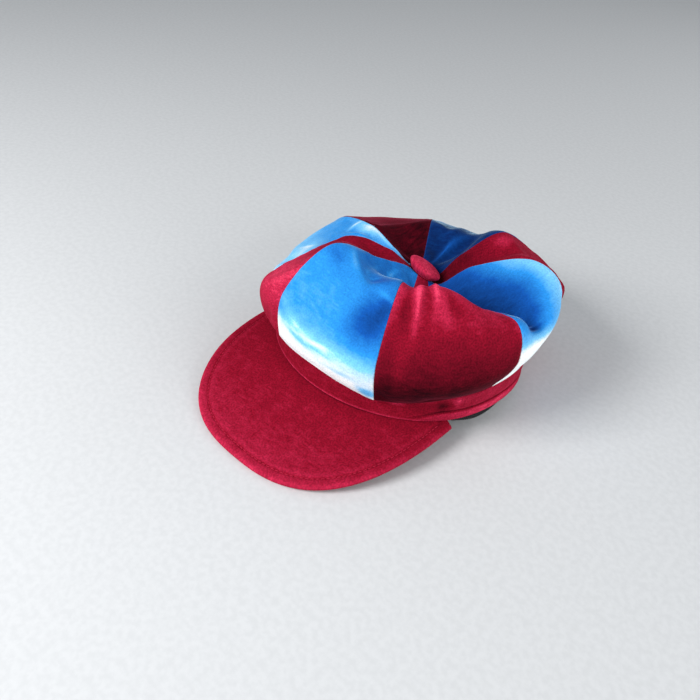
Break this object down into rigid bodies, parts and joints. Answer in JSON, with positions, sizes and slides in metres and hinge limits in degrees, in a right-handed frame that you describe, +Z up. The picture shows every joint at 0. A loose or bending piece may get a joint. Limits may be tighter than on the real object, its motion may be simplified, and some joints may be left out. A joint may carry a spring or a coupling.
{
  "type": "newsboy cap",
  "caption": "Soft newsboy cap: puffed crown panels in alternating blue and crimson velvet, covered top button, headband, sweatband and stiff front peak, worn on the head.",
  "frame": {"origin": "middle of the head opening, on the surface that the cap stands on", "axes": "+Z up through the crown, -Y out of the peak, the way that the wearer faces, +X to the wearer's left"},
  "size_m": [0.2087, 0.2769, 0.1065],
  "materials": {
    "velvet_blue": "short-pile blue velvet, deep where it faces the eye and pale at a grazing angle",
    "velvet_crimson": "short-pile crimson velvet, brighter at a grazing angle",
    "sweatband_black": "matte black ribbed ribbon"
  },
  "bodies": {
    "root": {"crown_panel_front": "velvet_blue", "crown_panel_front_left": "velvet_crimson", "crown_panel_left": "velvet_blue", "crown_panel_back_left": "velvet_crimson", "crown_panel_back": "velvet_blue", "crown_panel_back_right": "velvet_crimson", "crown_panel_right": "velvet_blue", "crown_panel_front_right": "velvet_crimson", "headband": "velvet_crimson", "sweatband": "sweatband_black", "peak_top": "velvet_crimson", "peak_under": "velvet_crimson", "top_button": "velvet_crimson"}
  },
  "joints": []
}
